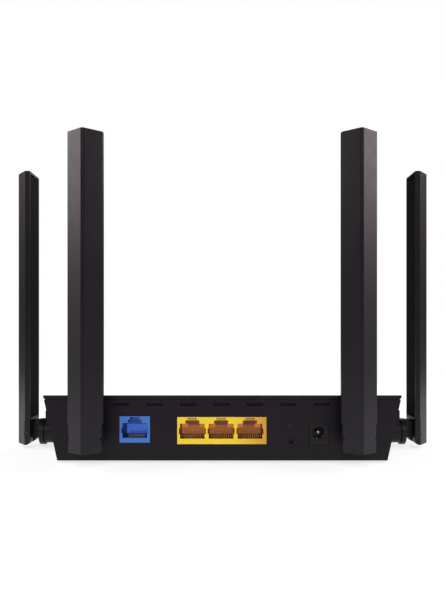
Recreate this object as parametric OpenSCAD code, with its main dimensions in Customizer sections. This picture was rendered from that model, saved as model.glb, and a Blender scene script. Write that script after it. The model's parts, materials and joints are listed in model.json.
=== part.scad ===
// Wireless router with four folding antennas: two on the rear wall and one on each side.
// Millimetres, +Z up, sockets facing -Y, origin under the middle of the overall box.
// Every part is drawn in the frame of the case: X from the middle, Y forward from the outside
// of the rear wall, Z up from the case bottom. in_frame() then moves it to the part's origin.

/* [Case] */
// Width of the rear wall at its top edge
rear_w = 174.4; // [172:0.1:176]
// Greatest width of the case, beside the side antennas
case_w = 192; // [191:0.5:193]
// Depth of the case from the rear wall to the front
case_d = 126; // [124:1:130]
// Height of the case at the rear wall, without the feet
case_h = 31.7; // [31.4:0.1:33]
// Slope of the top cover down towards the front, in degrees
top_slope = 7; // [6:0.1:7.2]
// Lean of the side and front walls, in degrees
wall_lean = 12; // [11:0.2:13]
// Thickness of the case walls
wall_t = 2; // [1.8:0.1:2.2]
// Thickness of the edge of the top cover
lip_t = 1.65; // [1.5:0.05:1.8]
// How far the top cover stands out past the walls
lip_out = 0; // [0:0.05:0.3]
// Dark joint between the top cover and the walls
joint_gap = 0.45; // [0.3:0.05:0.6]
// Height of the rubber feet below the case
foot_h = 1.2; // [1.1:0.1:2]

/* [Rear wall] */
// Middle of the single network socket, from the middle of the case
wan_x = -42.5; // [-43:0.1:-42]
// Middle of the block of three network sockets
lan_x = -0.6; // [-1:0.1:0]
// Distance between neighbouring sockets of the block
lan_pitch = 13.97; // [13.9:0.01:14]
// Middle of the power socket
power_x = 46.9; // [46.5:0.1:47.5]
// Height of the power socket's hole
power_z = 13.3; // [13.2:0.05:13.4]
// Middle of the two buttons
button_x = 33.4; // [33:0.1:34]
// Height of the pairing button
pair_z = 17.2; // [17:0.1:17.4]
// Height of the reset hole
reset_z = 9.3; // [9.2:0.05:9.4]
// Distance between the slots under the top edge
vent_pitch = 16.2; // [16:0.1:16.4]

/* [Antennas] */
// Length of an antenna blade
blade_l = 148.3; // [140:0.1:150]
// Width of an antenna blade
blade_w = 16.4; // [16:0.1:17]
// Thickness of a blade from its flat back to its ridge
blade_t = 8.7; // [8.5:0.05:8.8]
// Height of a blade's narrow side walls
blade_side = 2.6; // [2.5:0.1:2.8]
// Distance of each rear antenna from the middle
rear_ant_x = 63.4; // [63:0.1:64.5]
// Distance of the side antennas in front of the rear wall
side_ant_y = 41; // [40:0.5:44]
// Height of the rear antenna swivels above the case bottom
rear_swivel_z = 13.15; // [12.5:0.05:13.5]
// Height of the side antenna swivels above the case bottom
side_swivel_z = 7.45; // [7.3:0.05:7.8]
// Travel of each button when it is pressed
button_travel = 0.5; // [0.3:0.1:0.5]

/* [Hidden] */
$fn = 64;
EPS = 0.01;
BIG = 320;

// Each antenna: name, its place on the wall, and the direction its wall faces, in degrees
side_wall_x = 92.8;
ANTENNAS = [
    ["rear_left", [-rear_ant_x, 0, rear_swivel_z], -90],
    ["rear_right", [rear_ant_x, 0, rear_swivel_z], -90],
    ["side_left", [-side_wall_x, side_ant_y, side_swivel_z], 180],
    ["side_right", [side_wall_x, side_ant_y, side_swivel_z], 0],
];
ANTENNA_PARTS = ["swivel", "clip", "hinge_pin", "cover", "back", "radiator", "lead"];

// Colours
BLACK = "#1b1b1d";
BLUE = "#3b78d8";
YELLOW = "#f5cf2d";
GOLD = "#d4a944";
STEEL = "#a9acb0";
BOARD_GREEN = "#1f5a38";

// Plan of the case at the height of the rear top edge, right half from rear to front
side_from_y = 34;
side_to_y = 66;
RIGHT_PLAN = [
    [rear_w / 2, 0],
    [case_w / 2, side_from_y],
    [case_w / 2, side_to_y],
    [case_w / 2 - 9, case_d - 12],
    [case_w / 2 - 19, case_d],
];
PLAN = concat(RIGHT_PLAN, [for (i = [4:-1:0]) [-RIGHT_PLAN[i][0], RIGHT_PLAN[i][1]]]);
REAR_EDGE = 9;

// Antenna dimensions, measured outward from the nominal wall along the swivel axis
collar_from = 4.8;
collar_to = 7.2;
collar_r = 7.15;
boss_r = 6.25;
boss_in = 5;
saddle_w = 9;
saddle_h = 12;
saddle_out = 4;
shaft_r = 3.95;
shaft_bore_r = 4.0;
shaft_end = -7.4;
pin_out = 14;
pin_r = 1.2;
pin_bore_r = 1.25;
tongue_t = 5;
tongue_r = 3.1;
slot_t = 5.5;
slot_r = 3.4;
blade_back_u = -2.6;
blade_ridge_u = blade_back_u + blade_t;
blade_end = -6.3;
blade_top = blade_end + blade_l;
hinge_zone = 13;
hinge_trim = 0.5;
blade_wall = 1.4;

// The part's origin
top_tan = tan(top_slope);
front_y = (case_d + lip_out / cos(wall_lean)) / (1 + top_tan * tan(wall_lean));
rear_reach = pin_out + blade_ridge_u;
rear_y = -(front_y - rear_reach) / 2;

// Circuit board
board_z = 5.2;
board_t = 1.4;
board_top = board_z + board_t;
board_hw = 68;
board_rear_hw = 55;
board_from = 3;
board_step = 13;
board_to = 98;
BOARD_HOLES = [[-62, 20], [62, 20], [-62, 92], [62, 92]];
CASE_SCREWS = [[-75, 22], [75, 22], [-73, 102], [73, 102]];
FEET = [[-60, 14], [60, 14], [-64, 104], [64, 104]];
foot_r = 5;
screw_post_top = 11;
screw_tip = 16;

// Network sockets
port_w = 12;
port_h = 7.3;
latch_w = 6.8;
latch_rise = 1.6;
latch_top_w = 4.5;
latch_top_rise = 2.9;
wan_port_z = 11;
lan_port_z = 10.65;
wan_jack_w = 14.75;
wan_jack_z = [8.75, 21.55];
lan_jack_x = lan_x + 0.35;
lan_jack_w = 2 * lan_pitch + 15.36;
lan_jack_z = [8.05, 21.15];
port_depth = 14;
contact_rise = 1.9;
contact_pitch = 1.02;
groove_depth = 0.8;
LED_X = [-24, -12, 0, 12, 24];
led_y = 93;

module in_frame() {
    translate([0, rear_y, foot_h]) children();
}

// A box centred on x, from y0 to y1 and z0 to z1
module slab(x, w, y0, y1, z0, z1) {
    translate([x - w / 2, y0, z0]) cube([w, y1 - y0, z1 - z0]);
}

// A round bar along Y, on x and z, from y0 to y1
module bar_y(x, z, r, y0, y1) {
    translate([x, y1, z]) rotate([90, 0, 0]) cylinder(r = r, h = y1 - y0);
}

// Everything outside wall i of the case, after moving the wall inwards
module outside_wall(i, inset) {
    p = PLAN[i];
    q = PLAN[(i + 1) % len(PLAN)];
    lean = i == REAR_EDGE ? 0 : wall_lean;
    translate([p[0], p[1], case_h])
        rotate([0, 0, atan2(q[1] - p[1], q[0] - p[0])])
            rotate([lean, 0, 0])
                translate([-BIG / 2, inset - BIG, -BIG / 2]) cube([BIG * 3 / 2, BIG, BIG]);
}

// Everything more than drop below the top surface is kept; this is the rest
module above_top(drop) {
    translate([0, 0, case_h - drop]) rotate([-top_slope, 0, 0])
        translate([-BIG / 2, -BIG / 2, 0]) cube([BIG, BIG, BIG / 4]);
}

// The solid case with its walls moved in by inset, from z0 up to drop below the top
module case_solid(inset, z0, drop) {
    difference() {
        translate([-case_w / 2 - 5, -5, z0]) cube([case_w + 10, case_d + 10, case_h + 2 - z0]);
        for (i = [0:len(PLAN) - 1]) outside_wall(i, inset);
        above_top(drop);
    }
}

// Places children on the top surface, z = 0 being the surface
module on_top() {
    translate([0, 0, case_h]) rotate([-top_slope, 0, 0]) children();
}

// Places children on an antenna's axis: x outward from the wall, y across, z up
module at_antenna(a) {
    translate(a[1]) rotate([0, 0, a[2]]) children();
}

// A bar along the swivel axis
module bar_out(r, from, to) {
    translate([from, 0, 0]) rotate([0, 90, 0]) cylinder(r = r, h = to - from);
}

// ---------------------------------------------------------------- case

vent_w = 7.8;
vent_h = 1.4;
vent_z = 27.3;
vent_count = 7;
vent_x = -0.4;
keyhole_x = 50;
keyhole_y = 62;
keyhole_r = 3.6;
keyhole_slot_r = 1.9;
keyhole_slot_l = 7;
BOTTOM_VENT_X = [-24, -16, -8, 0, 8, 16, 24];

module wall_openings() {
    slab(wan_x, wan_jack_w + 0.2, -3, 5, wan_jack_z[0] - 0.1, wan_jack_z[1] + 0.1);
    slab(lan_jack_x, lan_jack_w + 0.2, -3, 5, lan_jack_z[0] - 0.1, lan_jack_z[1] + 0.1);
    slab(power_x, 9.3, -3, 5, power_z - 5.8, power_z + 4.5);
    bar_y(button_x, pair_z, 2.1, -3, 5);
    bar_y(button_x, reset_z, 1.2, -3, 5);
    for (i = [0:vent_count - 1])
        slab(vent_x + (i - (vent_count - 1) / 2) * vent_pitch, vent_w, -3, 5,
             vent_z - vent_h / 2, vent_z + vent_h / 2);
}

module keyhole() {
    translate([0, 0, -1]) cylinder(r = keyhole_r, h = wall_t + 2);
    translate([0, keyhole_slot_l, -1]) cylinder(r = keyhole_slot_r, h = wall_t + 2);
    slab(0, 2 * keyhole_slot_r, 0, keyhole_slot_l, -1, wall_t + 1);
}

// Round boss that carries an antenna, with a saddle that runs up the wall above it
module antenna_boss() {
    bar_out(boss_r, -boss_in, collar_from - 0.2);
    translate([-boss_in, -saddle_w / 2, 0]) cube([boss_in + saddle_out, saddle_w, saddle_h]);
}

module floor_posts() {
    for (p = CASE_SCREWS) translate([p[0], p[1], 0]) cylinder(r = 4, h = screw_post_top);
    for (p = BOARD_HOLES) translate([p[0], p[1], 0]) cylinder(r = 2.8, h = board_z);
}

module floor_cuts() {
    for (p = CASE_SCREWS) translate([p[0], p[1], -1]) {
        cylinder(r = 1.7, h = screw_post_top + 2);
        cylinder(r = 3, h = 7);
    }
    for (p = BOARD_HOLES) translate([p[0], p[1], 1]) cylinder(r = 1.1, h = board_z);
    for (s = [-1, 1]) translate([s * keyhole_x, keyhole_y, 0]) keyhole();
    for (p = FEET) translate([p[0], p[1], -1]) cylinder(r = foot_r + 0.1, h = 1.4);
    for (x = BOTTOM_VENT_X) {
        slab(x, 2.2, 22, 42, -1, wall_t + 1);
        slab(x, 2.2, 86, 106, -1, wall_t + 1);
    }
    slab(0, 66, 50, 80, -1, 0.2);
}

module bottom_case() {
    drop = lip_t + joint_gap;
    color(BLACK) in_frame() difference() {
        union() {
            difference() {
                case_solid(0, 0, drop);
                case_solid(wall_t, wall_t, -1);
            }
            difference() {
                union() {
                    floor_posts();
                    for (a = ANTENNAS) at_antenna(a) antenna_boss();
                }
                above_top(drop + 1);
            }
        }
        floor_cuts();
        wall_openings();
        for (a = ANTENNAS) at_antenna(a) bar_out(shaft_bore_r, -10, 10);
    }
}

cover_from = 8;
screw_r = 1.3;
land_in = 0.4;
land_gap = 0.05;
rim_t = 1.2;
rim_gap = 0.15;
rim_h = 3;
groove_w = 1;
groove_h = 0.6;
top_vent_count = 23;
top_vent_pitch = 4.4;
top_vent_y = 60;
top_vent_l = 20;
light_r = 1.1;

// Shallow crease from an end of the vent field to a corner of the cover
module crease(from, to) {
    d = to - from;
    translate([from[0], from[1], -groove_h]) rotate([0, 0, atan2(d[1], d[0])])
        translate([0, -groove_w / 2, 0]) cube([norm(d), groove_w, 3]);
}

module top_cuts() {
    vent_end = (top_vent_count + 1) / 2 * top_vent_pitch;
    for (i = [0:top_vent_count - 1])
        slab((i - (top_vent_count - 1) / 2) * top_vent_pitch, 2, top_vent_y - top_vent_l / 2,
             top_vent_y + top_vent_l / 2, -5, 3);
    for (s = [-1, 1]) {
        crease([s * vent_end, top_vent_y], [s * 79, 6]);
        crease([s * vent_end, top_vent_y], [s * 73, 114]);
        slab(s * vent_end, groove_w, top_vent_y - top_vent_l / 2 - 2,
             top_vent_y + top_vent_l / 2 + 2, -groove_h, 3);
        slab(0, 2 * vent_end, top_vent_y + s * (top_vent_l / 2 + 2) - groove_w / 2,
             top_vent_y + s * (top_vent_l / 2 + 2) + groove_w / 2, -groove_h, 3);
    }
}

module top_cover() {
    color(BLACK) in_frame() difference() {
        union() {
            difference() {
                case_solid(-lip_out, cover_from, 0);
                translate([0, 0, -lip_t]) case_solid(-BIG / 4, -BIG / 4, 0);
            }
            difference() {
                case_solid(land_in, cover_from, lip_t - EPS);
                translate([0, 0, -lip_t - joint_gap + land_gap]) case_solid(-BIG / 4, -BIG / 4, 0);
            }
            difference() {
                case_solid(wall_t + rim_gap, cover_from, lip_t - EPS);
                case_solid(wall_t + rim_gap + rim_t, cover_from - 1, -1);
                translate([0, 0, -lip_t - joint_gap - rim_h]) case_solid(-BIG / 4, -BIG / 4, 0);
                slab(0, vent_count * vent_pitch, 0, 6, cover_from, vent_z + 1.6);
            }
            difference() {
                for (p = CASE_SCREWS) translate([p[0], p[1], screw_post_top + 0.1])
                    cylinder(r = 3.2, h = case_h);
                above_top(lip_t - EPS);
            }
        }
        for (p = CASE_SCREWS) translate([p[0], p[1], cover_from])
            cylinder(r = screw_r, h = screw_tip + 0.4 - cover_from);
        on_top() top_cuts();
        for (x = LED_X) translate([x, led_y, cover_from]) cylinder(r = light_r, h = case_h);
    }
}

module rubber_feet() {
    color("#2a2a2c") in_frame() for (p = FEET) translate([p[0], p[1], -foot_h]) {
        cylinder(r1 = foot_r - 0.5, r2 = foot_r, h = 0.5);
        translate([0, 0, 0.5]) cylinder(r = foot_r, h = foot_h - 0.1);
    }
}

module case_screws() {
    color(STEEL) in_frame() for (p = CASE_SCREWS) translate([p[0], p[1], 0]) difference() {
        union() {
            translate([0, 0, 4]) cylinder(r = 2.7, h = 2);
            translate([0, 0, 6]) cylinder(r = screw_r, h = screw_tip - 6);
        }
        for (t = [0, 90]) rotate([0, 0, t]) slab(0, 0.7, -1.5, 1.5, 3, 5);
    }
}

module blank_label() {
    color("#d9d9d6") in_frame() slab(0, 65, 50.5, 79.5, 0.02, 0.19);
}

// ---------------------------------------------------------------- circuit board

module board_plan() {
    polygon([
        [-board_rear_hw, board_from], [board_rear_hw, board_from],
        [board_rear_hw, board_step], [board_hw, board_step],
        [board_hw, board_to], [-board_hw, board_to],
        [-board_hw, board_step], [-board_rear_hw, board_step],
    ]);
}

module circuit_board() {
    color(BOARD_GREEN) in_frame() difference() {
        translate([0, 0, board_z]) linear_extrude(board_t) board_plan();
        for (p = BOARD_HOLES) translate([p[0], p[1], board_z - 1]) cylinder(r = 1.6, h = 4);
    }
}

module board_screws() {
    color(STEEL) in_frame() for (p = BOARD_HOLES) translate([p[0], p[1], 0]) {
        translate([0, 0, board_top]) cylinder(r = 2.4, h = 1.4);
        translate([0, 0, board_z - 3]) cylinder(r = 1.1, h = board_t + 3);
    }
}

// A flat part standing on the board
module on_board(x, y, w, d, h) {
    translate([x - w / 2, y - d / 2, board_top]) cube([w, d, h]);
}

module main_chip() {
    color("#222225") in_frame() on_board(-8, 58, 16, 16, 1.2);
}

module heat_sink() {
    fins = 9;
    color(STEEL) in_frame() translate([-8, 58, board_top + 1.2]) {
        slab(0, 28, -14, 14, 0, 1.6);
        for (i = [0:fins - 1]) slab((i - (fins - 1) / 2) * 3.2, 1, -14, 14, 1.6, 8);
    }
}

module memory_chips() {
    color("#222225") in_frame() {
        on_board(-34, 62, 11, 10, 1);
        on_board(-34, 46, 8, 6, 1.4);
    }
}

// Thin drawn lids over the two radio sections
module radio_shields() {
    shield_t = 0.4;
    color(STEEL) in_frame() for (s = [[-42, 82, 30, 20], [42, 66, 30, 34]]) difference() {
        on_board(s[0], s[1], s[2], s[3], 3.2);
        translate([0, 0, -EPS])
            on_board(s[0], s[1], s[2] - 2 * shield_t, s[3] - 2 * shield_t, 3.2 - shield_t);
    }
}

module transformers() {
    color("#2b2b2e") in_frame() {
        on_board(wan_x, 30, 13, 10, 5.4);
        on_board(lan_x - 12, 30, 17, 10, 5.4);
        on_board(lan_x + 12, 30, 17, 10, 5.4);
    }
}

module capacitors() {
    color("#3a3f66") in_frame() for (p = [[47, 24], [47, 34], [36, 28], [26, 30]])
        translate([p[0], p[1], board_top]) cylinder(r = 3.1, h = 8);
}

module inductors() {
    color("#33363a") in_frame() {
        on_board(35, 38, 7, 7, 4);
        on_board(22, 46, 5, 5, 3);
    }
}

module crystal() {
    color(STEEL) in_frame() on_board(16, 60, 8, 3.4, 2.4);
}

// Sockets that the antenna leads plug into: on the board beside each radio section
SOCKETS = [[-57, 70], [57, 45], [-62, 78], [62, 55]];
module antenna_sockets() {
    color(GOLD) in_frame() for (p = SOCKETS) {
        on_board(p[0], p[1], 2.6, 2.6, 0.6);
        translate([p[0], p[1], board_top + 0.6]) cylinder(r = 1, h = 0.6);
    }
}

// ---------------------------------------------------------------- sockets and buttons

// Space for one network plug, centred on x with its floor at z and grooves in that floor
module port_space(x, z, grooves) {
    half = [[port_w / 2, 0], [port_w / 2, port_h],
            [latch_w / 2, port_h], [latch_w / 2, port_h + latch_rise],
            [latch_top_w / 2, port_h + latch_rise], [latch_top_w / 2, port_h + latch_top_rise]];
    translate([x, port_depth, z]) rotate([90, 0, 0]) linear_extrude(port_depth + 2)
        polygon(concat(half, [for (i = [len(half) - 1:-1:0]) [-half[i][0], half[i][1]]]));
    slab(x, port_w + 1.1, -2, 3, z + 2.3, z + 5.1);
    for (i = [0:grooves - 1])
        slab(x + (i - (grooves - 1) / 2) * contact_pitch, 0.6, 0.3, 10, z - groove_depth, z + 1);
}

// Eight spring wires that rise out of their grooves towards the back of a socket
module port_wires(x, z) {
    wire_w = 0.4;
    wire_l = 12;
    for (i = [0:7])
        translate([x + (i - 3.5) * contact_pitch - wire_w / 2, 1.2, z - groove_depth + 0.1])
            rotate([atan2(contact_rise, wire_l), 0, 0]) cube([wire_w, wire_l, 0.35]);
}

module wan_jack() {
    color(BLUE) in_frame() difference() {
        union() {
            slab(wan_x, wan_jack_w, -0.4, 2.2, wan_jack_z[0], wan_jack_z[1]);
            slab(wan_x, wan_jack_w, 2.2, 17.5, board_top, wan_jack_z[1]);
        }
        port_space(wan_x, wan_port_z, 8);
    }
}

module wan_contacts() {
    color(GOLD) in_frame() port_wires(wan_x, wan_port_z);
}

module lan_jack_block() {
    color(YELLOW) in_frame() difference() {
        union() {
            slab(lan_jack_x, lan_jack_w, -0.4, 2.2, lan_jack_z[0], lan_jack_z[1]);
            slab(lan_jack_x, lan_jack_w, 2.2, 17.5, board_top, lan_jack_z[1]);
        }
        for (i = [-1:1]) port_space(lan_x + i * lan_pitch, lan_port_z, 12);
    }
}

module lan_contacts() {
    color(GOLD) in_frame() for (i = [-1:1]) port_wires(lan_x + i * lan_pitch, lan_port_z);
}

power_hole_r = 3.15;
power_depth = 9.5;
power_pin_r = 1;
power_pin_from = 3;
power_pin_to = power_depth + 1.6;
module power_jack() {
    color("#161617") in_frame() difference() {
        union() {
            slab(power_x, 9, -0.1, 2.2, power_z - 5.65, power_z + 4.35);
            slab(power_x, 9, 2.2, 13.5, board_top, power_z + 4.35);
        }
        bar_y(power_x, power_z, power_hole_r, -1, power_depth);
        bar_y(power_x, power_z, power_pin_r - 0.02, power_depth - 1, power_pin_to);
    }
}

module power_pin() {
    color(STEEL) in_frame() {
        bar_y(power_x, power_z, power_pin_r, power_pin_from, power_pin_to);
        translate([power_x, power_pin_from, power_z]) sphere(r = power_pin_r);
    }
}

button_r = 2;
button_in = 4.2;
module pair_button() {
    color("#232325") in_frame() {
        bar_y(button_x, pair_z, button_r, -0.15, button_in);
        bar_y(button_x, pair_z, 3, wall_t + 0.6, wall_t + 1.4);
    }
}

// Side-acting switch on a bracket, whose legs stand on the board beside the reset switch
module pair_switch() {
    from = button_in + button_travel + 0.1;
    color(STEEL) in_frame() {
        slab(button_x, 7, from, from + 4, pair_z - 3, pair_z + 3);
        for (s = [-1, 1]) slab(button_x + s * 3.9, 0.8, from, from + 4, board_top, pair_z + 2);
    }
}

plunger_from = 1.4;
module reset_plunger() {
    color("#232325") in_frame() {
        bar_y(button_x, reset_z, 0.95, plunger_from, plunger_from + 3);
    }
}

module reset_switch() {
    from = plunger_from + 1.4;
    color("#2a2a2d") in_frame() difference() {
        slab(button_x, 5.6, from, from + 4.4, board_top, reset_z + 2.6);
        bar_y(button_x, reset_z, 1, from - 1, plunger_from + 3 + button_travel + 0.1);
    }
}

// ---------------------------------------------------------------- status lights

module status_leds() {
    color("#f2f2ea") in_frame() for (x = LED_X) on_board(x, led_y, 1.6, 1.2, 0.8);
}

// Clear posts above the lights, joined by a bar under the top cover
module light_guide() {
    bar_z = 14.5;
    color("#e8eef2") in_frame() {
        difference() {
            for (x = LED_X) translate([x, led_y, board_top + 1.2])
                cylinder(r = light_r - 0.08, h = case_h);
            above_top(0.05);
        }
        slab(0, 2 * LED_X[4] + 4, led_y - 0.9, led_y + 0.9, bar_z, bar_z + 2);
    }
}

// ---------------------------------------------------------------- antennas

// Swivel: a shaft held in the wall, a round collar, and a flat tongue for the blade
module ant_swivel(a) {
    color(BLACK) in_frame() at_antenna(a) difference() {
        union() {
            bar_out(shaft_r, shaft_end, collar_from + EPS);
            bar_out(collar_r, collar_from, collar_to);
            translate([0, tongue_t / 2, 0]) rotate([90, 0, 0]) linear_extrude(tongue_t) {
                polygon([[collar_to - EPS, 6.8], [collar_to + 3, 6.5], [pin_out, tongue_r],
                         [pin_out, -tongue_r], [collar_to + 0.3, -tongue_r],
                         [collar_to + 0.2, -4.6], [collar_to - EPS, -5.6]]);
                translate([pin_out, 0]) circle(r = tongue_r);
            }
        }
        bar_out(1.6, shaft_end - 1, collar_to + 2);
        bar_across(pin_r - 0.02, pin_out, tongue_t + 2);
        clip_groove();
    }
}

// A round bar across the blade, through the hinge
module bar_across(r, out, w) {
    translate([out, w / 2, 0]) rotate([90, 0, 0]) cylinder(r = r, h = w);
}

clip_t = 1.2;
clip_from = -boss_in - 0.3 - clip_t;
clip_inner_r = 3.2;
clip_r = 5;
module clip_groove() {
    translate([clip_from - 0.02, 0, 0]) rotate([0, 90, 0]) difference() {
        cylinder(r = shaft_r + 1, h = clip_t + 0.04);
        translate([0, 0, -1]) cylinder(r = clip_inner_r, h = clip_t + 2);
    }
}

// Spring clip that holds the swivel's shaft in the case
module ant_clip(a) {
    color(STEEL) in_frame() at_antenna(a) translate([clip_from, 0, 0]) rotate([0, 90, 0])
        difference() {
            cylinder(r = clip_r, h = clip_t);
            translate([0, 0, -1]) cylinder(r = clip_inner_r, h = clip_t + 2);
            translate([-8, -2.2, -1]) cube([8, 4.4, clip_t + 2]);
        }
}

module ant_hinge_pin(a) {
    color(STEEL) in_frame() at_antenna(a) bar_across(pin_r, pin_out, blade_w - 2 * hinge_trim - 2.4);
}

// Section of a blade, as points [across, outward from the pin], grown inwards by inset
ridge_r = 1.5;
ridge_half = atan2(blade_w / 2, blade_t - blade_side);
function blade_section(inset) =
    let (w = blade_w / 2 - inset,
         side = blade_back_u + blade_side - inset * tan((90 - ridge_half) / 2),
         tip = blade_ridge_u + ridge_r / sin(ridge_half) - ridge_r - inset / sin(ridge_half),
         r = max(ridge_r - inset, 0.3),
         mid = tip - r / sin(ridge_half))
    concat([[-w, blade_back_u], [-w, side]],
           [for (i = [-3:3]) let (t = i / 3 * (90 - ridge_half)) [r * sin(t), mid + r * cos(t)]],
           [[w, side], [w, blade_back_u]]);

// Stretch of blade from z0 to z1, in the antenna's frame
module blade_length(inset, z0, z1) {
    translate([pin_out, 0, z0]) rotate([0, 0, -90]) linear_extrude(z1 - z0)
        polygon(blade_section(inset));
}

// Room for the tongue through the whole fold, from upright to straight out
module hinge_slot() {
    u0 = pin_out + blade_back_u - 1;
    translate([u0, -slot_t / 2, blade_end - 1]) cube([pin_out - u0, slot_t, 7.6 - blade_end]);
    translate([pin_out - EPS, -slot_t / 2, blade_end - 1]) cube([slot_r, slot_t, 1 - blade_end]);
    translate([pin_out, slot_t / 2, 0]) rotate([90, 0, 0]) cylinder(r = slot_r, h = slot_t);
}

// The lower inner corner of a blade is round, so that it clears the collar as it folds
module corner_cut() {
    r = 2.4;
    u = pin_out + blade_back_u;
    translate([0, blade_w / 2 + 1, 0]) rotate([90, 0, 0]) linear_extrude(blade_w + 2)
        difference() {
            translate([u - 1, blade_end - 1]) square([r + 1, r + 1]);
            translate([u + r, blade_end + r]) circle(r = r);
        }
}

back_hw = blade_w / 2 - 0.9;
back_from = hinge_zone + blade_end + 1.5;
back_to = blade_top - 2;
back_t = 1.2;

// Ridged outer shell of a blade, solid at the hinge and hollow above it
module ant_cover(a) {
    hollow_from = hinge_zone + blade_end + 3;
    color(BLACK) in_frame() at_antenna(a) difference() {
        blade_length(0, blade_end, blade_top);
        blade_length(blade_wall, hollow_from, blade_top - blade_wall);
        translate([pin_out + blade_back_u - 1, -back_hw, back_from])
            cube([1 + back_t, 2 * back_hw, back_to - back_from]);
        for (s = [-1, 1]) translate([pin_out - 4, s * blade_w / 2 - hinge_trim, blade_end - 1])
            cube([blade_t + 4, 2 * hinge_trim, hinge_zone + 1]);
        hinge_slot();
        corner_cut();
        bar_across(pin_bore_r, pin_out, blade_w - 2 * hinge_trim - 2.2);
        for (s = [-1, 1]) translate([pin_out, s * (blade_w / 2 - hinge_trim), 0])
            rotate([90, 0, 0]) cylinder(r = 0.9, h = 2.6, center = true);
    }
}

// Flat strip that closes the back of a blade
module ant_back(a) {
    clear = 0.06;
    color("#202022") in_frame() at_antenna(a)
        translate([pin_out + blade_back_u, -back_hw + clear, back_from + clear])
            cube([back_t, 2 * (back_hw - clear), back_to - back_from - 2 * clear]);
}

// Printed strip inside a blade
module ant_radiator(a) {
    color(BOARD_GREEN) in_frame() at_antenna(a)
        translate([pin_out + blade_back_u + back_t + 0.3, -5, back_from + 10]) cube([0.8, 10, 105]);
}

function unit(v) = v / norm(v);

// Direction of a path at point i, halfway between its two stretches
function heading(path, i) =
    let (ahead = i < len(path) - 1 ? unit(path[i + 1] - path[i]) : [0, 0, 0],
         behind = i > 0 ? unit(path[i] - path[i - 1]) : [0, 0, 0])
    unit(ahead + behind);

// Ring of points around point i of a path that is never vertical
function ring(path, i, r, sides) =
    let (t = heading(path, i), u = unit([t[1], -t[0], 0]), v = cross(t, u))
    [for (k = [0:sides - 1]) path[i] + r * (cos(360 * k / sides) * u + sin(360 * k / sides) * v)];

// A wire along a path, with flat sides
module wire(path, r, sides = 8) {
    last = (len(path) - 1) * sides;
    polyhedron(
        points = [for (i = [0:len(path) - 1]) each ring(path, i, r, sides)],
        faces = concat(
            [[for (k = [0:sides - 1]) k], [for (k = [sides - 1:-1:0]) last + k]],
            [for (i = [0:len(path) - 2]) for (k = [0:sides - 1])
                let (a = i * sides + k, b = i * sides + (k + 1) % sides)
                [a, a + sides, b + sides, b]]));
}

// Lead inside the case, from the swivel's hollow shaft to its socket on the board
lead_r = 0.6;
lead_z = 10.4;
module ant_lead(a, i) {
    out = [cos(a[2]), sin(a[2]), 0];
    inside = a[1] + out * (shaft_end - 4);
    above = [SOCKETS[i][0], SOCKETS[i][1], lead_z];
    level = unit(above - inside);
    color("#3c3c40") in_frame()
        wire([a[1] + out * (shaft_end + 4), inside, above - level * 1.5,
              above - level * 0.5 - [0, 0, 0.8], above - [0, 0, lead_z - board_top - 1.9]], lead_r);
}

// ---------------------------------------------------------------- all the parts

bottom_case();
top_cover();
rubber_feet();
case_screws();
blank_label();
circuit_board();
board_screws();
main_chip();
heat_sink();
memory_chips();
radio_shields();
transformers();
capacitors();
inductors();
crystal();
antenna_sockets();
wan_jack();
wan_contacts();
lan_jack_block();
lan_contacts();
power_jack();
power_pin();
pair_button();
pair_switch();
reset_plunger();
reset_switch();
status_leds();
light_guide();
for (i = [0:3]) {
    a = ANTENNAS[i];
    ant_swivel(a);
    ant_clip(a);
    ant_hinge_pin(a);
    ant_cover(a);
    ant_back(a);
    ant_radiator(a);
    ant_lead(a, i);
}
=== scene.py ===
"""Looks for the wireless router: real edges, materials, floor, light and camera.

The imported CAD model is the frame. Each visible CAD part is rebuilt as a piece with rounded edges,
and small parts that the CAD model leaves plain are added. Everything is in metres.
"""
import json
import math

import bmesh
import bpy
from mathutils import Matrix, Vector


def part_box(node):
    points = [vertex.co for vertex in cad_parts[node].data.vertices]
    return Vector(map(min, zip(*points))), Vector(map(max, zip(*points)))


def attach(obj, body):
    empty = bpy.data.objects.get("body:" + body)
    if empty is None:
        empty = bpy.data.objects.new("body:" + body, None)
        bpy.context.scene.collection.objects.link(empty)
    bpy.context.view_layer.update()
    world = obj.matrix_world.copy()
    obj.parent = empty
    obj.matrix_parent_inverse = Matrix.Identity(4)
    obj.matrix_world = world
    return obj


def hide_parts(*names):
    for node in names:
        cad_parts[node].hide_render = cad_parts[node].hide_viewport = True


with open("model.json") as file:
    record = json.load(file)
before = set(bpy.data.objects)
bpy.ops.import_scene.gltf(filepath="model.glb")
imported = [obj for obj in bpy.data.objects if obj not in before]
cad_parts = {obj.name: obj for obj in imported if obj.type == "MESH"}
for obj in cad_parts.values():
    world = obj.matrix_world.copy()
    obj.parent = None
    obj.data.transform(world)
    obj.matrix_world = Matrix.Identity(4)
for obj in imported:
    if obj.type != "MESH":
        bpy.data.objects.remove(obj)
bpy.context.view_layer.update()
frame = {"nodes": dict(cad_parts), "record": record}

MM = 0.001
ANTENNAS = ("rear_left", "rear_right", "side_left", "side_right")
NODE_BODY = {n: b for b, members in frame["record"]["behaviour"]["bodies"].items() for n in members}
NODE_SLOT = {s["node"]: s["material_slot"] for s in frame["record"]["subparts"]}
MOUNT_PLACE = {m["name"]: Vector(m["pos_m"]) for m in frame["record"]["mounts"]}
REAR_WALL_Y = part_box("wan_jack")[0].y + 0.4 * MM
CASE_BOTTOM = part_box("bottom_case")[0].z


# ---------------------------------------------------------------- camera

# In metres: right of the middle, away from the rear wall, and above the floor.
CAMERA_RIGHT = 0.0011
CAMERA_DISTANCE = 0.2914
CAMERA_HEIGHT = 0.0646
# Measured in the frame's longer side.
CAMERA_SHIFT = (-0.0036, 0.0584)
# In mm, as on a camera.
SENSOR = 36.0
LENS = 36.55


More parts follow.
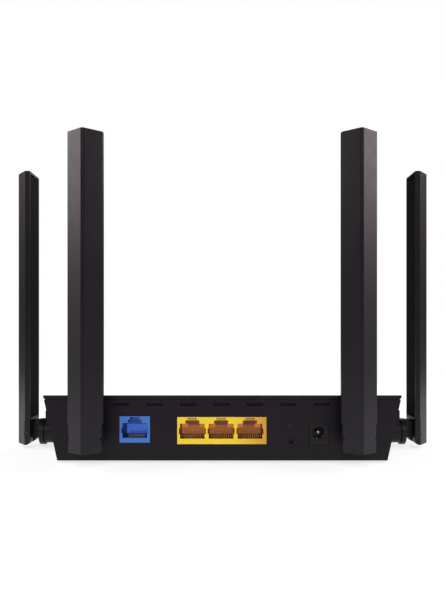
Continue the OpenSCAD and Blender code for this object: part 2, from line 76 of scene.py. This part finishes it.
def make_camera():
    """Level camera behind the router, at twice the height of the case, with its frame shifted up."""
    data = bpy.data.cameras.new("camera")
    data.sensor_width = SENSOR
    data.lens = LENS
    data.shift_x, data.shift_y = CAMERA_SHIFT
    data.clip_start = 0.01
    cam = bpy.data.objects.new("camera", data)
    cam.location = (CAMERA_RIGHT, REAR_WALL_Y - CAMERA_DISTANCE, CAMERA_HEIGHT)
    cam.rotation_euler = (math.radians(90), 0, 0)
    bpy.context.scene.collection.objects.link(cam)
    bpy.context.scene.camera = cam


# ---------------------------------------------------------------- materials

class Shader:
    """Builds one node material with few words."""

    def __init__(self, name, color, roughness, metallic=0.0, specular=0.5):
        self.mat = bpy.data.materials.new(name)
        self.mat.use_nodes = True
        self.tree = self.mat.node_tree
        self.bsdf = self.tree.nodes["Principled BSDF"]
        self.bsdf.inputs["Base Color"].default_value = (*color, 1)
        self.bsdf.inputs["Roughness"].default_value = roughness
        self.bsdf.inputs["Metallic"].default_value = metallic
        self.bsdf.inputs["Specular IOR Level"].default_value = specular
        coords = self.node("ShaderNodeTexCoord")
        self.coords, self.normal = coords.outputs["Object"], coords.outputs["Normal"]
        self.bump_from = None

    def node(self, kind, **values):
        n = self.tree.nodes.new(kind)
        for key, value in values.items():
            setattr(n, key, value)
        return n

    def link(self, a, b):
        self.tree.links.new(a, b)

    def stretched(self, scale):
        """The object's coordinates, scaled along each axis."""
        mapping = self.node("ShaderNodeMapping")
        mapping.inputs["Scale"].default_value = scale
        self.link(self.coords, mapping.inputs["Vector"])
        return mapping.outputs["Vector"]

    def noise(self, size_mm, detail=3.0, rough=0.5, stretch=(1, 1, 1)):
        """Noise whose grains are about size_mm across."""
        n = self.node("ShaderNodeTexNoise")
        n.inputs["Scale"].default_value = 1.0 / (size_mm * MM)
        n.inputs["Detail"].default_value = detail
        n.inputs["Roughness"].default_value = rough
        self.link(self.stretched(stretch), n.inputs["Vector"])
        return n.outputs["Fac"]

    def cells(self, size_mm):
        """Distance to the middle of cells that are about size_mm across."""
        n = self.node("ShaderNodeTexVoronoi")
        n.inputs["Scale"].default_value = 1.0 / (size_mm * MM)
        self.link(self.coords, n.inputs["Vector"])
        return n.outputs["Distance"]

    def ramp(self, fac, stops):
        """A color from stops of (position, color)."""
        n = self.node("ShaderNodeValToRGB")
        ends = n.color_ramp.elements
        while len(ends) < len(stops):
            ends.new(0.5)
        for e, (pos, color) in zip(ends, stops):
            e.position = pos
            e.color = (*color, 1)
        self.link(fac, n.inputs["Fac"])
        return n.outputs["Color"]

    def map_range(self, value, low, high):
        """0 at low, 1 at high, smooth between."""
        n = self.node("ShaderNodeMapRange", interpolation_type="SMOOTHSTEP")
        n.inputs["From Min"].default_value = low
        n.inputs["From Max"].default_value = high
        self.link(value, n.inputs["Value"])
        return n.outputs["Result"]

    def parts_of(self, vector):
        """The x, y and z of a vector."""
        n = self.node("ShaderNodeSeparateXYZ")
        self.link(vector, n.inputs["Vector"])
        return n.outputs["X"], n.outputs["Y"], n.outputs["Z"]

    def product(self, a, b, plus=0.0):
        """a * b + plus; b is a number or an output."""
        n = self.node("ShaderNodeMath", operation="MULTIPLY_ADD")
        self.link(a, n.inputs[0])
        n.inputs[2].default_value = plus
        if isinstance(b, float):
            n.inputs[1].default_value = b
        else:
            self.link(b, n.inputs[1])
        return n.outputs["Value"]

    def mix(self, fac, a, b):
        """Color a where fac is 0 and b where it is 1; each is a color or an output."""
        n = self.node("ShaderNodeMix", data_type="RGBA")
        self.link(fac, n.inputs[0])
        for socket, value in ((n.inputs[6], a), (n.inputs[7], b)):
            if isinstance(value, tuple):
                socket.default_value = (*value, 1)
            else:
                self.link(value, socket)
        return n.outputs[2]

    def rough_range(self, fac, low, high):
        """Roughness from low where fac is 0 to high where it is 1."""
        n = self.node("ShaderNodeMapRange")
        n.inputs["To Min"].default_value = low
        n.inputs["To Max"].default_value = high
        self.link(fac, n.inputs["Value"])
        self.link(n.outputs["Result"], self.bsdf.inputs["Roughness"])

    def color_from(self, output):
        self.link(output, self.bsdf.inputs["Base Color"])

    def bump(self, height, strength, distance_mm):
        """Adds a bump on top of those made before."""
        n = self.node("ShaderNodeBump")
        n.inputs["Strength"].default_value = strength
        n.inputs["Distance"].default_value = distance_mm * MM
        self.link(height, n.inputs["Height"])
        if self.bump_from is not None:
            self.link(self.bump_from, n.inputs["Normal"])
        self.bump_from = n.outputs["Normal"]
        self.link(self.bump_from, self.bsdf.inputs["Normal"])


def shade(color, factor):
    """A color made darker or lighter."""
    return tuple(min(1.0, c * factor) for c in color)


def textured_plastic(name, color, rough, grain_mm=0.35, specular=0.5):
    """Moulded plastic with a fine spark-eroded grain and faint handling marks."""
    s = Shader(name, color, rough, specular=specular)
    cloud = s.noise(14, detail=4)
    s.color_from(s.ramp(cloud, [(0.3, shade(color, 0.86)), (0.7, shade(color, 1.16))]))
    s.rough_range(s.noise(5, detail=5, rough=0.65), rough - 0.07, rough + 0.09)
    for size_mm, strength in ((grain_mm, 0.55), (grain_mm * 6, 0.25)):
        s.bump(s.noise(size_mm, detail=2), strength, 0.02)
    return s.mat


def smooth_plastic(name, color, rough, specular=0.5):
    """Moulded plastic with a satin skin, faint flow marks and fine speckle."""
    s = Shader(name, color, rough, specular=specular)
    flow = s.noise(9, detail=3, stretch=(1, 1, 0.35))
    s.color_from(s.ramp(flow, [(0.3, shade(color, 0.9)), (0.72, shade(color, 1.1))]))
    s.rough_range(s.noise(1.5, detail=4), rough - 0.05, rough + 0.08)
    s.bump(s.noise(0.5, detail=2), 0.3, 0.01)
    return s.mat


def lit_plastic(name, color, glow):
    """Smooth plastic with a painted glow that stands in for light seen through it."""
    mat = smooth_plastic(name, color, 0.45, specular=0.2)
    skin = mat.node_tree.nodes["Principled BSDF"].inputs
    skin["Emission Color"].default_value = (*glow, 1)
    skin["Emission Strength"].default_value = 1.0
    return mat


def jack_plastic(name, face, painted_opening_color, glow=(0, 0, 0), lit_to=15.4, end=None, specular=0.35):
    """Moulded socket: clean face, a painted shade in the openings, and a painted glow on their back
    walls.

    The glow stands in for light seen through the plastic and is strongest up to lit_to mm over the case
    bottom; where the openings' color is lighter than the face, it is a painted fill light. The face may
    turn to another color towards its right end.
    """
    s = Shader(name, face, 0.4, specular=specular)
    x, y, z = s.parts_of(s.coords)

    def behind(start_mm, full_mm):
        """0 up to start_mm behind the rear wall, and 1 from full_mm on."""
        return s.map_range(y, REAR_WALL_Y + start_mm * MM, REAR_WALL_Y + full_mm * MM)

    # Masks for the painted light and shade: faces turned out of the opening get the painted glow,
    # upward floors a darker painted shade, and the openings' color takes over in the first 1.4 mm
    # behind the rear wall.
    _, rearward, upward = s.parts_of(s.normal)
    facing = s.map_range(rearward, -0.5, -0.9)
    floor = s.map_range(upward, 0.5, 0.9)
    deep = behind(0, 1.4)
    back = behind(8, 11)
    end_wall = behind(12.5, 13.5)
    high = s.map_range(z, CASE_BOTTOM + lit_to * MM, CASE_BOTTOM + (lit_to + 0.5) * MM)
    # The painted glow is 20% weaker on the end wall, and 70% weaker there above lit_to.
    lit = s.product(s.product(end_wall, s.product(high, 0.5, 0.2)), -1.0, 1.0)
    skin = s.ramp(s.noise(4, detail=4), [(0.3, shade(face, 0.97)), (0.72, shade(face, 1.03))])
    if end:
        # Towards the right the face turns to the end color, and the painted glow fades by 22%.
        skin = s.mix(s.map_range(x, 2 * MM, 25 * MM), skin, end)
        lit = s.product(lit, s.product(s.map_range(x, -18 * MM, 16 * MM), -0.22, 1.0))
    # Painted glow on the back walls that face out of the opening, standing in for light seen through
    # the plastic.
    s.bsdf.inputs["Emission Color"].default_value = (*glow, 1)
    s.link(s.product(s.product(back, facing), lit), s.bsdf.inputs["Emission Strength"])
    # Painted shade in the openings, darker still on their upward floors; in the black socket the
    # lighter opening color is a painted fill light.
    s.color_from(s.mix(deep, skin, s.mix(floor, painted_opening_color, shade(painted_opening_color, 0.3))))
    s.rough_range(s.noise(1.2, detail=4), 0.34, 0.48)
    s.bump(s.noise(0.4, detail=2), 0.3, 0.01)
    return s.mat


def metal(name, color, rough, stretch=(1, 1, 1), grain_mm=0.4, metallic=1.0):
    """Metal with a grain, drawn out along an axis where stretch is small."""
    s = Shader(name, color, rough, metallic=metallic)
    grain = s.noise(grain_mm, detail=4, stretch=stretch)
    s.color_from(s.ramp(grain, [(0.25, shade(color, 0.82)), (0.75, shade(color, 1.08))]))
    s.rough_range(grain, rough - 0.08, rough + 0.12)
    s.bump(grain, 0.25, 0.01)
    return s.mat


def board_material(name, color):
    """Green solder resist over copper traces, with small plated holes."""
    s = Shader(name, color, 0.32)
    traces = s.node("ShaderNodeTexBrick")
    traces.offset = 0.37
    traces.inputs["Scale"].default_value = 1.0
    traces.inputs["Mortar Size"].default_value = 0.22 * MM
    traces.inputs["Mortar Smooth"].default_value = 0.3
    traces.inputs["Brick Width"].default_value = 8.5 * MM
    traces.inputs["Row Height"].default_value = 1.3 * MM
    traces.inputs["Color1"].default_value = (*color, 1)
    traces.inputs["Color2"].default_value = (*shade(color, 0.85), 1)
    traces.inputs["Mortar"].default_value = (*shade(color, 1.9), 1)
    s.link(s.coords, traces.inputs["Vector"])
    plated_holes = s.ramp(s.cells(3.4), [(0.12, (1, 1, 1)), (0.16, (0, 0, 0))])
    s.color_from(s.mix(plated_holes, traces.outputs["Color"], (0.62, 0.5, 0.22)))
    s.bump(traces.outputs["Fac"], 0.2, 0.03)
    return s.mat


def label_material(name, color):
    """Blank film label with a faint weave and a slightly worn print face."""
    s = Shader(name, color, 0.45)
    s.color_from(s.ramp(s.noise(6, detail=4), [(0.3, shade(color, 0.94)), (0.7, shade(color, 1.03))]))
    s.bump(s.noise(0.3, detail=2, stretch=(1, 3, 1)), 0.2, 0.01)
    return s.mat


def clear_material(name, color):
    """Clear moulded plastic with a slightly uneven polish."""
    s = Shader(name, color, 0.12)
    s.bsdf.inputs["Transmission Weight"].default_value = 0.85
    s.bsdf.inputs["IOR"].default_value = 1.49
    s.rough_range(s.noise(2, detail=3), 0.08, 0.2)
    return s.mat


MATERIALS = {
    "case_black": textured_plastic("case_black", (0.0086, 0.0062, 0.0098), 0.45, specular=0.19),
    "cover_black": textured_plastic("cover_black", (0.009, 0.0065, 0.0098), 0.4, specular=0.22),
    "rubber": textured_plastic("rubber", (0.02, 0.02, 0.021), 0.8, grain_mm=0.6, specular=0.3),
    "screw_steel": metal("screw_steel", (0.52, 0.52, 0.54), 0.32),
    "label": label_material("label", (0.68, 0.68, 0.66)),
    "board_green": board_material("board_green", (0.012, 0.09, 0.035)),
    "chip_black": textured_plastic("chip_black", (0.022, 0.022, 0.024), 0.55, grain_mm=0.2),
    "heat_sink_metal": metal("heat_sink_metal", (0.62, 0.63, 0.65), 0.35, stretch=(6, 0.4, 1)),
    "tin_plate": metal("tin_plate", (0.66, 0.66, 0.64), 0.28),
    "capacitor_sleeve": smooth_plastic("capacitor_sleeve", (0.035, 0.045, 0.15), 0.3),
    "ferrite": textured_plastic("ferrite", (0.04, 0.041, 0.045), 0.6, grain_mm=0.25),
    "gold": metal("gold", (0.86, 0.62, 0.24), 0.38, grain_mm=0.8, metallic=0.6),
    "gold_dim": metal("gold_dim", (0.42, 0.27, 0.1), 0.45, grain_mm=0.8, metallic=0.3),
    # In the socket materials the second color is the painted shade in the openings, and glow is a
    # painted glow for light seen through the plastic.
    "blue_plastic": jack_plastic("blue_plastic", (0.055, 0.185, 0.59), (0.022, 0.05, 0.18),
                                 glow=(0.052, 0.135, 0.58)),
    "yellow_plastic": jack_plastic("yellow_plastic", (1.0, 0.7, 0.026), (0.24, 0.065, 0.032),
                                   glow=(0.34, 0.115, 0.036), lit_to=14.9, end=(0.68, 0.31, 0.033)),
    # Pads deep in the network sockets: a darker color for painted shade and a painted glow.
    "yellow_pads": lit_plastic("yellow_pads", (0.4, 0.12, 0.05), (0.4, 0.15, 0.042)),
    # Its opening color is lighter than its face: a painted fill light in the power socket.
    "jack_black": jack_plastic("jack_black", (0.0102, 0.008, 0.0108), (0.15, 0.137, 0.15),
                               specular=0.2),
    "pin_steel": metal("pin_steel", (0.5, 0.49, 0.48), 0.45),
    "led_white": smooth_plastic("led_white", (0.75, 0.74, 0.66), 0.3),
    "clear_plastic": clear_material("clear_plastic", (0.85, 0.9, 0.92)),
    "button_black": smooth_plastic("button_black", (0.0095, 0.0072, 0.0102), 0.42, specular=0.22),
    "antenna_black": textured_plastic("antenna_black", (0.0072, 0.0058, 0.0088), 0.38, specular=0.27),
    "antenna_back_black": textured_plastic("antenna_back_black", (0.0072, 0.0058, 0.0088), 0.7,
                                           specular=0.05),
    "knuckle_black": smooth_plastic("knuckle_black", (0.0085, 0.0066, 0.0092), 0.42, specular=0.2),
    "clip_steel": metal("clip_steel", (0.08, 0.08, 0.082), 0.4),
    "lead_grey": smooth_plastic("lead_grey", (0.05, 0.05, 0.055), 0.4),
}


# ---------------------------------------------------------------- pieces from CAD nodes

# Pieces that look other than their slot's material does elsewhere; the socket pads get a painted glow
# and painted shade.
LOOKS = {"wan_contacts_piece": "gold_dim", "lan_jack_pads": "yellow_pads"}
SMOOTH_BELOW = math.radians(35)


def new_piece(name, bm, slot, body):
    """Turns a bmesh into a piece with its slot's material, riding on a body."""
    for f in bm.faces:
        f.smooth = True
    for e in bm.edges:
        e.smooth = len(e.link_faces) != 2 or e.calc_face_angle(0.0) < SMOOTH_BELOW
    mesh = bpy.data.meshes.new(name)
    bm.to_mesh(mesh)
    bm.free()
    mesh.materials.append(MATERIALS[LOOKS.get(name, slot)])
    obj = bpy.data.objects.new(name, mesh)
    bpy.context.scene.collection.objects.link(obj)
    shading = obj.modifiers.new("shading", "WEIGHTED_NORMAL")
    shading.weight = 100
    shading.keep_sharp = True
    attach(obj, body)
    return obj


def node_bmesh(node):
    """A clean copy of a CAD node's mesh: joined vertices and whole flat faces."""
    bm = bmesh.new()
    bm.from_mesh(frame["nodes"][node].data)
    bmesh.ops.remove_doubles(bm, verts=bm.verts, dist=2e-6)
    bmesh.ops.dissolve_limit(bm, angle_limit=math.radians(0.4), verts=bm.verts, edges=bm.edges)
    bmesh.ops.recalc_face_normals(bm, faces=bm.faces)
    return bm


def round_edges(bm, width, segments=2, degrees=28):
    """Rounds the edges that are sharper than some degrees."""
    limit = math.radians(degrees)
    edges = [e for e in bm.edges if len(e.link_faces) == 2 and e.calc_face_angle(0.0) > limit]
    bmesh.ops.bevel(bm, geom=edges, offset=width, offset_type="OFFSET", segments=segments,
                    profile=0.5, affect="EDGES", clamp_overlap=True)


def refined(node, width_mm, segments=2, degrees=28):
    """Replaces a CAD node by the same shape with rounded edges."""
    bm = node_bmesh(node)
    if width_mm:
        round_edges(bm, width_mm * MM, segments, degrees)
    piece = new_piece(node + "_piece", bm, NODE_SLOT[node], NODE_BODY[node])
    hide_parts(node)
    return piece


# How wide each node's edges are rounded, in mm; 0 leaves them as they are.
ROUNDED = {
    "bottom_case": 0.2, "top_cover": 0.2, "rubber_feet": 0.35, "case_screws": 0.12,
    "circuit_board": 0.1, "board_screws": 0.15, "main_chip": 0.12, "heat_sink": 0.12,
    "memory_chips": 0.1, "radio_shields": 0.15, "transformers": 0.3, "capacitors": 0.4,
    "inductors": 0.5, "crystal": 0.4, "antenna_sockets": 0.1, "wan_jack": 0.05,
    "lan_jack_block": 0.05, "power_jack": 0.12, "pair_button": 0.2, "pair_switch": 0.15,
    "reset_plunger": 0.15, "reset_switch": 0.15, "status_leds": 0.15, "light_guide": 0.1,
    "blank_label": 0.02, "wan_contacts": 0.08, "lan_contacts": 0.08, "power_pin": 0.0,
}
for node, width in ROUNDED.items():
    refined(node, width)
for a in ANTENNAS:
    refined(a + "_cover", 0.35, segments=3, degrees=20)
    refined(a + "_back", 0.15)
    refined(a + "_swivel", 0.3)
    refined(a + "_clip", 0.15)
    refined(a + "_hinge_pin", 0.15)
    refined(a + "_radiator", 0.1)
    refined(a + "_lead", 0)


# ---------------------------------------------------------------- small parts on the rear wall

def case_box(bm, across, deep, high):
    """A box in mm: across from the middle, deep behind the rear wall, high over the case bottom."""
    spans = (across, deep, high)
    size = [(b - a) * MM for a, b in spans]
    middle = Vector([(a + b) / 2 * MM for a, b in spans]) + Vector((0, REAR_WALL_Y, CASE_BOTTOM))
    bmesh.ops.create_cube(bm, size=1.0, matrix=Matrix.Translation(middle) @ Matrix.Diagonal((*size, 1)))


def housing_piece(name, slot, boxes, width_mm):
    """One piece of several boxes with rounded edges, fixed to the housing."""
    bm = bmesh.new()
    for b in boxes:
        case_box(bm, *b)
    round_edges(bm, width_mm * MM)
    return new_piece(name, bm, slot, "housing")


def moved(span, by):
    """A span of mm, moved along."""
    return (span[0] + by, span[1] + by)


def socket_middle(name):
    """Where a socket is: mm across from the middle, and mm over the case bottom."""
    place = MOUNT_PLACE[name]
    return place.x / MM, (place.z - CASE_BOTTOM) / MM


VENT_MIDDLE, VENT_PITCH = -0.4, 16.2
LOUVRE_ACROSS, LOUVRE_DEEP, LOUVRE_HIGH = (-3.88, 3.88), (1.25, 1.85), (26.62, 27.98)
# Spans of the other small parts are from the middle of their socket.
PADS_ACROSS = ((-5.95, -3.0), (3.0, 5.95))
PAD_DEEP, PAD_HIGH = (13.5, 13.98), (-0.1, 1.8)
BRIDGE_ACROSS, BRIDGE_DEEP, BRIDGE_HIGH = (-2.2, 2.2), (0.72, 6.0), (5.35, 6.75)
SPRING_ACROSS = (-1.0, -0.5)
SPRING_ARM_DEEP, SPRING_ARM_HIGH = (1.2, 9.0), (-3.0, -2.55)
SPRING_FOOT_DEEP, SPRING_FOOT_HIGH = (8.6, 9.0), (-2.55, -1.7)

LAN_PORTS = [socket_middle(f"lan_socket_{i}") for i in (1, 2, 3)]
POWER_X, POWER_Z = socket_middle("power_socket")

housing_piece("vent_louvres", "case_black",
              [(moved(LOUVRE_ACROSS, VENT_MIDDLE + VENT_PITCH * i), LOUVRE_DEEP, LOUVRE_HIGH)
               for i in range(-3, 4)], 0.05)
# The pads take yellow_pads through LOOKS: a painted glow and painted shade.
housing_piece("lan_jack_pads", "yellow_plastic",
              [(moved(across, x), PAD_DEEP, moved(PAD_HIGH, z))
               for x, z in LAN_PORTS for across in PADS_ACROSS], 0.1)
housing_piece("lan_latch_bridges", "yellow_plastic",
              [(moved(BRIDGE_ACROSS, x), BRIDGE_DEEP, moved(BRIDGE_HIGH, z))
               for x, z in LAN_PORTS], 0.08)
housing_piece("power_jack_spring", "pin_steel",
              [(moved(SPRING_ACROSS, POWER_X), deep, moved(high, POWER_Z))
               for deep, high in ((SPRING_ARM_DEEP, SPRING_ARM_HIGH),
                                  (SPRING_FOOT_DEEP, SPRING_FOOT_HIGH))], 0.1)


# ---------------------------------------------------------------- floor and light

FLOOR_RADIUS = 0.42
FLOOR_GLOW = 0.75
FLOOR_BELOW = 0.05 * MM
STUDIO_GLOW = 0.05


def make_floor():
    """A round light table: its own glow keeps the shadows pale."""
    bm = bmesh.new()
    bmesh.ops.create_circle(bm, cap_ends=True, radius=FLOOR_RADIUS, segments=96)
    mesh = bpy.data.meshes.new("floor")
    bm.to_mesh(mesh)
    bm.free()
    s = Shader("floor", (0.4, 0.4, 0.4), 0.9, specular=0.0)
    s.color_from(s.ramp(s.noise(60, detail=3), [(0.3, (0.39, 0.39, 0.39)), (0.7, (0.41, 0.41, 0.41))]))
    s.bsdf.inputs["Emission Color"].default_value = (1, 1, 1, 1)
    s.bsdf.inputs["Emission Strength"].default_value = FLOOR_GLOW
    mesh.materials.append(s.mat)
    floor = bpy.data.objects.new("floor", mesh)
    floor.location.z = -FLOOR_BELOW
    bpy.context.scene.collection.objects.link(floor)


def make_world():
    """White behind the object, and a dark studio for everything that it reflects."""
    world = bpy.data.worlds.new("studio")
    bpy.context.scene.world = world
    world.use_nodes = True
    tree = world.node_tree
    back = tree.nodes["Background"]
    seen = tree.nodes.new("ShaderNodeBackground")
    seen.inputs["Color"].default_value = (1, 1, 1, 1)
    seen.inputs["Strength"].default_value = 1.0
    back.inputs["Color"].default_value = (1, 1, 1, 1)
    back.inputs["Strength"].default_value = STUDIO_GLOW
    path = tree.nodes.new("ShaderNodeLightPath")
    mix = tree.nodes.new("ShaderNodeMixShader")
    tree.links.new(path.outputs["Is Camera Ray"], mix.inputs[0])
    tree.links.new(back.outputs[0], mix.inputs[1])
    tree.links.new(seen.outputs[0], mix.inputs[2])
    tree.links.new(mix.outputs[0], tree.nodes["World Output"].inputs["Surface"])


def soft_box(place, aim, size, watts):
    """A large lamp that the camera doesn't see."""
    data = bpy.data.lights.new("soft_box", "AREA")
    data.shape = "RECTANGLE"
    data.color = (1.0, 0.88, 0.92)
    data.size, data.size_y = size
    data.energy = watts
    light = bpy.data.objects.new("soft_box", data)
    light.location = place
    light.rotation_euler = (Vector(aim) - Vector(place)).to_track_quat("-Z", "Y").to_euler()
    light.visible_camera = False
    bpy.context.scene.collection.objects.link(light)


def sun(direction, strength, degrees):
    """Light from a direction, as wide as a soft box at any distance."""
    data = bpy.data.lights.new("sun", "SUN")
    data.energy = strength
    data.angle = math.radians(degrees)
    light = bpy.data.objects.new("sun", data)
    light.rotation_euler = Vector(direction).to_track_quat("Z", "Y").to_euler()
    bpy.context.scene.collection.objects.link(light)


def make_lights():
    """A broad light behind the camera, a weak one past the router, and two soft boxes on each side."""
    sun(direction=(0, -0.8, 0.6), strength=1.35, degrees=30)
    sun(direction=(0.3, 0.8, 0.55), strength=0.6, degrees=40)
    for side in (-1, 1):
        soft_box(place=(side * 1.0, -0.03, 0.55), aim=(0, -0.05, 0.12), size=(0.6, 0.5), watts=6.3)
        soft_box(place=(side * 1.0, -0.12, 0.16), aim=(0, -0.05, 0.08), size=(0.7, 0.3), watts=0.4)


make_camera()
make_world()
make_lights()
make_floor()
bpy.context.scene.view_settings.view_transform = "Standard"
